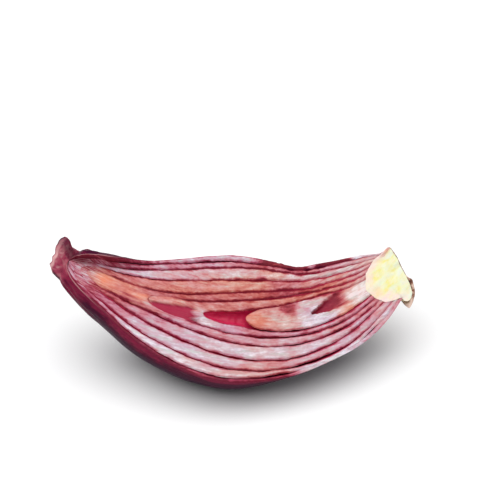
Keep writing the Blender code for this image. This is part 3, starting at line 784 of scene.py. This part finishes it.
def flesh_surface():
    """Cut flesh of a fleshy scale: moist and finely fibred, lilac white to crimson, with crimson skin at its edges.

    It gives the eye mottled bands with soft lengthwise streaks and a thin dark line on each side.
    """
    colours = bpy.context.scene.onion_flesh
    # Patches are 2 mm long and streaks 0.16 mm wide. The real fibres are finer than a pixel and drawn coarser.
    made, tree, shader, read = new_surface(
        "cut_scale_flesh", ("grain", "inside", "outside", "blush", "warm", "glow", "bare", "line", "torn"),
        (("patches", 2.0, 0.8, 3.0), ("tints", 4.0, 1.6, 2.0), ("streaks", 2.2, 0.16, 2.0),
         ("fibres", 0.8, 0.07, 2.0), ("wobble", 0.9, 3.0, 2.0), ("uneven", 5.0, 0.9, 2.0),
         ("grit", 0.55, 0.3, 2.0), ("watery", 3.4, 0.6, 2.0)),
        Subsurface_Weight=0.12, Subsurface_Scale=0.0006, Subsurface_Radius=(1.0, 0.4, 0.35), IOR=1.4,
        Specular_IOR_Level=0.3)
    # Dark line at a piece's edges, wavy and of uneven strength.
    edge = add_node(tree, "Math", {0: read["inside"], 1: read["outside"]}, operation="MINIMUM")
    strayed = add_node(tree, "Math", {0: read["wobble"], 1: -0.5, 2: edge}, operation="MULTIPLY_ADD")
    fringe = add_node(tree, "MapRange", {0: strayed, 1: -0.25, 2: 0.16, 3: 1.0, 4: 0.0},
                      interpolation_type="SMOOTHSTEP")
    soft = add_node(tree, "Math", {0: read["glow"], 1: -0.8, 2: 1.0}, operation="MULTIPLY_ADD")
    uneven = add_node(tree, "MapRange", {0: read["uneven"], 1: 0.35, 2: 0.6, 3: 0.4, 4: 1.0})
    for factor in (soft, read["line"], uneven):
        fringe = add_node(tree, "Math", {0: fringe, 1: factor}, operation="MULTIPLY")
    # Blush is the layer's tone with the patterns, less their mean. The streaks are stronger by the neck.
    fraying = add_node(tree, "Math", {0: read["torn"], 1: 1.3, 2: 0.4}, operation="MULTIPLY_ADD")
    level = add_node(tree, "Math", {0: read["streaks"], 1: 0.5}, operation="SUBTRACT")
    level = add_node(tree, "Math", {0: level, 1: fraying}, operation="MULTIPLY")
    blush = read["blush"]
    for pattern, strength in ((read["patches"], 0.8), (read["grit"], 0.35), (level, 1.0), (fringe, 0.55)):
        blush = add_node(tree, "Math", {0: pattern, 1: strength, 2: blush}, operation="MULTIPLY_ADD")
    blush = add_node(tree, "Math", {0: blush, 1: 0.575}, operation="SUBTRACT")
    warm = add_node(tree, "Math", {0: read["tints"], 1: 1.1, 2: read["warm"]}, operation="MULTIPLY_ADD")
    warm = add_node(tree, "Math", {0: warm, 1: 0.55}, operation="SUBTRACT", use_clamp=True)
    rises = (0.0, 0.22, 0.5, 0.78, 1.0)
    cool, hot = (add_node(tree, "ValToRGB", {0: blush}, stops=tuple(zip(rises, tones)))
                 for tones in ((colours.lilac_white, colours.lilac, colours.rose, colours.raspberry, colours.crimson),
                               (colours.ivory, colours.peach, colours.salmon, colours.brick, colours.russet)))
    # Over that come watery patches, where the flesh is pale and whole, the orange glow, and bare crimson skin.
    wet = add_node(tree, "MapRange", {0: read["watery"], 1: 0.52, 2: 0.68, 3: 0.0, 4: 0.5})
    dry = add_node(tree, "MapRange", {0: blush, 1: 0.15, 2: 0.55, 3: 1.0, 4: 0.0})
    whole = add_node(tree, "Math", {0: 1.0, 1: read["torn"]}, operation="SUBTRACT")
    for factor in (dry, whole):
        wet = add_node(tree, "Math", {0: wet, 1: factor}, operation="MULTIPLY")
    spread = add_node(tree, "Math", {0: read["patches"], 1: 2.0, 2: read["streaks"]}, operation="MULTIPLY_ADD")
    glow = add_node(tree, "Math", {0: read["glow"], 1: spread}, operation="MULTIPLY")
    glow = add_node(tree, "Math", {0: glow, 1: 0.5}, operation="MULTIPLY", use_clamp=True)
    thin = add_node(tree, "Math", {0: read["streaks"], 1: 0.5}, operation="MULTIPLY")
    lining = add_node(tree, "Mix", {0: thin, 6: colours.inner_dark, 7: colours.inner_skin}, data_type="RGBA")
    colour = cool
    for factor, over in ((warm, hot), (wet, colours.grey_green), (glow, colours.orange), (read["bare"], lining)):
        colour = add_node(tree, "Mix", {0: factor, 6: colour, 7: over}, data_type="RGBA")
    tree.links.new(colour, shader["Base Color"])
    rough = add_node(tree, "MapRange", {0: read["patches"], 1: 0.3, 2: 0.7, 3: 0.34, 4: 0.56})
    tree.links.new(rough, shader["Roughness"])
    relief = add_node(tree, "Math", {0: read["fibres"], 1: 0.4, 2: read["streaks"]}, operation="MULTIPLY_ADD")
    bump = add_node(tree, "Bump", {"Strength": 0.7, "Distance": 0.00012, "Height": relief})
    tree.links.new(bump, shader["Normal"])
    return made


def inner_skin_surface():
    """Thin crimson skin on both sides of a scale: smooth, moist and veined lengthwise.

    It gives the eye the saturated crimson in the hollows and the dark lines between the bands.
    """
    colours = bpy.context.scene.onion_flesh
    made, tree, shader, read = new_surface(
        "crimson_inner_skin", ("grain",), (("veins", 5.0, 0.3, 3.0),), Roughness=0.38, IOR=1.42,
        Subsurface_Weight=0.1, Subsurface_Scale=0.0005, Specular_IOR_Level=0.3)
    colour = add_node(tree, "ValToRGB", {0: read["veins"]},
                      stops=((0.2, colours.inner_dark), (0.45, colours.inner_skin)))
    tree.links.new(colour, shader["Base Color"])
    bump = add_node(tree, "Bump", {"Strength": 0.4, "Distance": 0.0001, "Height": read["veins"]})
    tree.links.new(bump, shader["Normal"])
    return made


def papery_skin_surface():
    """Dry outer skin: thin, satin, purple crimson, with close lengthwise veins; pale pink where it is torn.

    It gives the eye a dark wet-looking hull and fine lines running to the neck; towards its underside the colour
    turns dark violet, painted shade and a painted violet sheen.
    """
    colours = bpy.context.scene.onion_skin
    # Veins stand about 0.5 mm apart and clouds of colour are 4 mm wide. The neck's dry fibres are drawn 0.7 mm wide,
    # coarser than they are.
    made, tree, shader, read = new_surface(
        "papery_skin", ("grain", "torn", "bare", "under"),
        (("veins", 9.0, 0.5, 3.0), ("clouds", 12.0, 4.0, 3.0), ("specks", 0.5, 0.25, 2.0), ("fibres", 9.0, 0.7, 1.0)),
        IOR=1.45, Specular_IOR_Level=0.03)
    shade = read["clouds"]
    for pattern, strength in ((read["veins"], 0.5), (read["specks"], 0.25)):
        shade = add_node(tree, "Math", {0: pattern, 1: strength, 2: shade}, operation="MULTIPLY_ADD")
    # Painted shade: the colour darkens towards dark violet on the skin's underside, on the hood's top and in the
    # crease at the neck's flap, as the shade value read from the mesh rises.
    depth = add_node(tree, "MapRange", {0: read["under"], 1: 0.01, 2: 0.24, 3: 0.0, 4: -0.8})
    shade = add_node(tree, "Math", {0: shade, 1: depth}, operation="ADD")
    mixed = add_node(tree, "ValToRGB", {0: shade},
                     stops=((0.25, colours.dark), (0.6, colours.purple), (1.0, colours.red)))
    dried = add_node(tree, "MapRange", {0: read["veins"], 1: 0.35, 2: 0.55, 3: 0.55, 4: 1.0})
    frayed = add_node(tree, "MapRange", {0: read["fibres"], 1: 0.42, 2: 0.7, 3: 0.0, 4: 0.6})
    dried, frayed = (add_node(tree, "Math", {0: factor, 1: read["bare"]}, operation="MULTIPLY")
                     for factor in (dried, frayed))
    torn = add_node(tree, "Math", {0: frayed, 1: read["torn"]}, operation="MAXIMUM")
    for factor, over in ((dried, colours.brown), (torn, colours.dry)):
        mixed = add_node(tree, "Mix", {0: factor, 6: mixed, 7: over}, data_type="RGBA")
    tree.links.new(mixed, shader["Base Color"])
    rough = add_node(tree, "MapRange", {0: read["clouds"], 1: 0.3, 2: 0.7, 3: 0.28, 4: 0.46})
    tree.links.new(rough, shader["Roughness"])
    height = add_node(tree, "Math", {0: read["specks"], 1: 0.3, 2: read["veins"]}, operation="MULTIPLY_ADD")
    bump = add_node(tree, "Bump", {"Strength": 0.6, "Distance": 0.00015, "Height": height})
    tree.links.new(bump, shader["Normal"])
    return made


def plate_surface():
    """Cut basal plate: dense, fibrous and pale yellow, watery green white in places, pinker where the scales join it.

    It gives the eye a bright mottled wedge with fine fibres running to the roots.
    """
    colours = bpy.context.scene.onion_base
    # Mottles are 1 mm wide, and the fibres 0.14 mm, coarser than they are.
    made, tree, shader, read = new_surface(
        "basal_plate_flesh", ("grain", "blush", "glow", "warm", "bare"),
        (("mottle", 1.1, 0.9, 3.0), ("watery", 2.2, 1.4, 3.0), ("fibres", 1.2, 0.14, 2.0)),
        Roughness=0.5, IOR=1.4, Subsurface_Weight=0.15, Subsurface_Scale=0.0008)
    colour = add_node(tree, "ValToRGB", {0: read["mottle"]}, stops=((0.34, colours.yellow), (0.66, colours.cream)))
    wet = add_node(tree, "MapRange", {0: read["watery"], 1: 0.4, 2: 0.6, 3: -0.3, 4: 0.6})
    wet = add_node(tree, "Math", {0: wet, 1: read["warm"]}, operation="ADD", use_clamp=True)
    fringe = add_node(tree, "Math", {0: read["fibres"], 1: read["bare"]}, operation="MULTIPLY")
    fringe = add_node(tree, "Math", {0: fringe, 1: 1.6}, operation="MULTIPLY", use_clamp=True)
    for factor, over in ((wet, colours.green), (read["glow"], colours.orange), (read["blush"], colours.pink),
                         (fringe, colours.fringe)):
        colour = add_node(tree, "Mix", {0: factor, 6: colour, 7: over}, data_type="RGBA")
    tree.links.new(colour, shader["Base Color"])
    height = add_node(tree, "Math", {0: read["fibres"], 1: 0.8, 2: read["mottle"]}, operation="MULTIPLY_ADD")
    bump = add_node(tree, "Bump", {"Strength": 0.7, "Distance": 0.00015, "Height": height})
    tree.links.new(bump, shader["Normal"])
    return made


def cork_surface():
    """Corky root crown: dry, flaky and brown, worn paler on its high spots and along its rim.

    It gives the eye a rough dull crust with flakes of about 1 mm.
    """
    colours = bpy.context.scene.onion_base
    made, tree, shader, read = new_surface("root_crown_cork", ("torn",), Roughness=0.85, IOR=1.45)
    place = add_node(tree, "TexCoord", output="Object")
    flakes = add_node(tree, "TexNoise", {"Vector": place, "Scale": 1100.0, "Detail": 4.0, "Roughness": 0.65})
    mixed = add_node(tree, "ValToRGB", {0: flakes},
                     stops=((0.36, colours.cork_dark), (0.5, colours.cork), (0.66, colours.cork_pale)))
    mixed = add_node(tree, "Mix", {0: read["torn"], 6: mixed, 7: colours.cork_pale}, data_type="RGBA")
    tree.links.new(mixed, shader["Base Color"])
    bump = add_node(tree, "Bump", {"Strength": 0.9, "Distance": 0.0003, "Height": flakes})
    tree.links.new(bump, shader["Normal"])
    return made


class ONION_OT_skin(bpy.types.Operator):
    """Papery outer skin with the torn neck."""
    bl_idname = "onion.skin"
    bl_label = "Outer skin"

    def execute(self, context):
        measure(context)
        spun_piece("papery_skin", "skin", skin_inside, skin_outside, (5, None), (280, 8, 72),
                   (flesh_surface(), papery_skin_surface()), "outer_skin")
        return {"FINISHED"}


class ONION_OT_scales(bpy.types.Operator):
    """The five fleshy scales, from the outermost in."""
    bl_idname = "onion.scales"
    bl_label = "Fleshy scales"

    def execute(self, context):
        measure(context)
        surfaces = (bpy.data.materials["cut_scale_flesh"], inner_skin_surface())
        for k in range(1, 6):
            spun_piece(f"fleshy_scale_{k}", f"scale_{k}", edge_curve(5 - k, 1), edge_curve(6 - k, -1),
                       (5 - k, 6 - k), (250, 12, 16), surfaces, f"scale_{k}")
        return {"FINISHED"}


class ONION_OT_bud(bpy.types.Operator):
    """The solid bud at the heart, with its pit."""
    bl_idname = "onion.bud"
    bl_label = "Bud"

    def execute(self, context):
        measure(context)
        surfaces = (bpy.data.materials["cut_scale_flesh"], bpy.data.materials["crimson_inner_skin"])
        spun_piece("heart_bud", "bud", axis_curve(BUD_BOW[0] + 0.8, PLATE_FRONT), edge_curve(-1, -1), (None, -1),
                   (180, 24, 24), surfaces, "inner_bud")
        return {"FINISHED"}


class ONION_OT_plate(bpy.types.Operator):
    """The pale basal plate that carries the scales."""
    bl_idname = "onion.plate"
    bl_label = "Basal plate"

    def execute(self, context):
        measure(context)
        surface = plate_surface()
        spun_piece("basal_plate_fine", "plate", axis_curve(PLATE_FRONT, PLATE_BACK), plate_curve, (None, None),
                   (120, 20, 40), (surface, surface), "basal_plate")
        return {"FINISHED"}


class ONION_OT_crown(bpy.types.Operator):
    """The thin corky root crown."""
    bl_idname = "onion.crown"
    bl_label = "Root crown"

    def execute(self, context):
        measure(context)
        surface = cork_surface()
        spun_piece("root_crown_fine", "crown", crown_curve(0.0), crown_curve(1.0), (None, None), (60, 4, 60),
                   (surface, surface), "root_crown")
        return {"FINISHED"}


class ONION_OT_stage(bpy.types.Operator):
    """Pale floor, soft light and the camera at the photograph's angle."""
    bl_idname = "onion.stage"
    bl_label = "Stage"

    def execute(self, context):
        settings = context.scene.onion_stage
        bm = bmesh.new()
        bmesh.ops.create_grid(bm, x_segments=2, y_segments=2, size=4.0)
        mesh = bpy.data.meshes.new("floor")
        bm.to_mesh(mesh)
        bm.free()
        mesh.materials.append(new_surface("pale_floor", Roughness=0.9, Base_Color=(*settings.floor, 1.0))[0])
        floor = bpy.data.objects.new("floor", mesh)
        context.scene.collection.objects.link(floor)
        world = bpy.data.worlds.new("room")
        world.use_nodes = True
        sky = world.node_tree.nodes["Background"]
        sky.inputs["Color"].default_value = (0.97, 0.98, 1.0, 1.0)
        sky.inputs["Strength"].default_value = settings.sky_light
        context.scene.world = world
        lamp = bpy.data.lights.new("soft_box", "AREA")
        lamp.shape, lamp.size, lamp.energy = "DISK", LAMP_WIDTH, settings.soft_light
        box = bpy.data.objects.new("soft_box", lamp)
        box.location = LAMP_PLACE
        box.rotation_euler = (-box.location).to_track_quat("-Z", "Y").to_euler()
        context.scene.collection.objects.link(box)
        elevation, azimuth = math.radians(LOOK_DOWN), math.radians(LOOK_ROUND)
        back = Vector((math.sin(azimuth) * math.cos(elevation), -math.cos(azimuth) * math.cos(elevation),
                       math.sin(elevation)))
        right = Vector((math.cos(azimuth), math.sin(azimuth), 0.0))
        up = back.cross(right)
        per_pixel = DISTANCE / FOCAL
        middle = Vector((*SHIFT, -FLOOR)) * MM
        data = bpy.data.cameras.new("camera")
        data.lens, data.sensor_width = FOCAL / PICTURE * SENSOR, SENSOR
        camera = bpy.data.objects.new("camera", data)
        camera.location = middle + back * DISTANCE
        aim = middle + right * (AIM[0] * per_pixel) + up * (AIM[1] * per_pixel)
        camera.rotation_euler = (aim - camera.location).to_track_quat("-Z", "Y").to_euler()
        context.scene.collection.objects.link(camera)
        context.scene.camera = camera
        context.scene.view_settings.view_transform = "Standard"
        return {"FINISHED"}


class ONION_PT_panel(bpy.types.Panel):
    """Settings and steps of the bulb."""
    bl_label = "Dayak onion"
    bl_idname = "ONION_PT_panel"
    bl_space_type = "VIEW_3D"
    bl_region_type = "UI"
    bl_category = "Onion"

    def draw(self, context):
        for title, group in GROUPS.items():
            box = self.layout.box()
            settings = getattr(context.scene, title)
            for key in group.__annotations__:
                box.prop(settings, key)
        for operator in OPERATORS:
            self.layout.operator(operator.bl_idname)


GROUPS = {"onion_sizes": ONION_PG_sizes, "onion_flesh": ONION_PG_flesh, "onion_skin": ONION_PG_skin,
          "onion_base": ONION_PG_base, "onion_stage": ONION_PG_stage}
OPERATORS = (ONION_OT_skin, ONION_OT_scales, ONION_OT_bud, ONION_OT_plate, ONION_OT_crown, ONION_OT_stage)


def register():
    for kind in (*GROUPS.values(), *OPERATORS, ONION_PT_panel):
        bpy.utils.register_class(kind)
    for title, group in GROUPS.items():
        setattr(bpy.types.Scene, title, bpy.props.PointerProperty(type=group))


def unregister():
    for title in GROUPS:
        delattr(bpy.types.Scene, title)
    for kind in (ONION_PT_panel, *OPERATORS[::-1], *list(GROUPS.values())[::-1]):
        bpy.utils.unregister_class(kind)


def main():
    """Makes the pieces and the stage."""
    register()
    bpy.ops.onion.skin()
    bpy.ops.onion.scales()
    bpy.ops.onion.bud()
    bpy.ops.onion.plate()
    bpy.ops.onion.crown()
    bpy.ops.onion.stage()


if __name__ == "__main__":
    main()
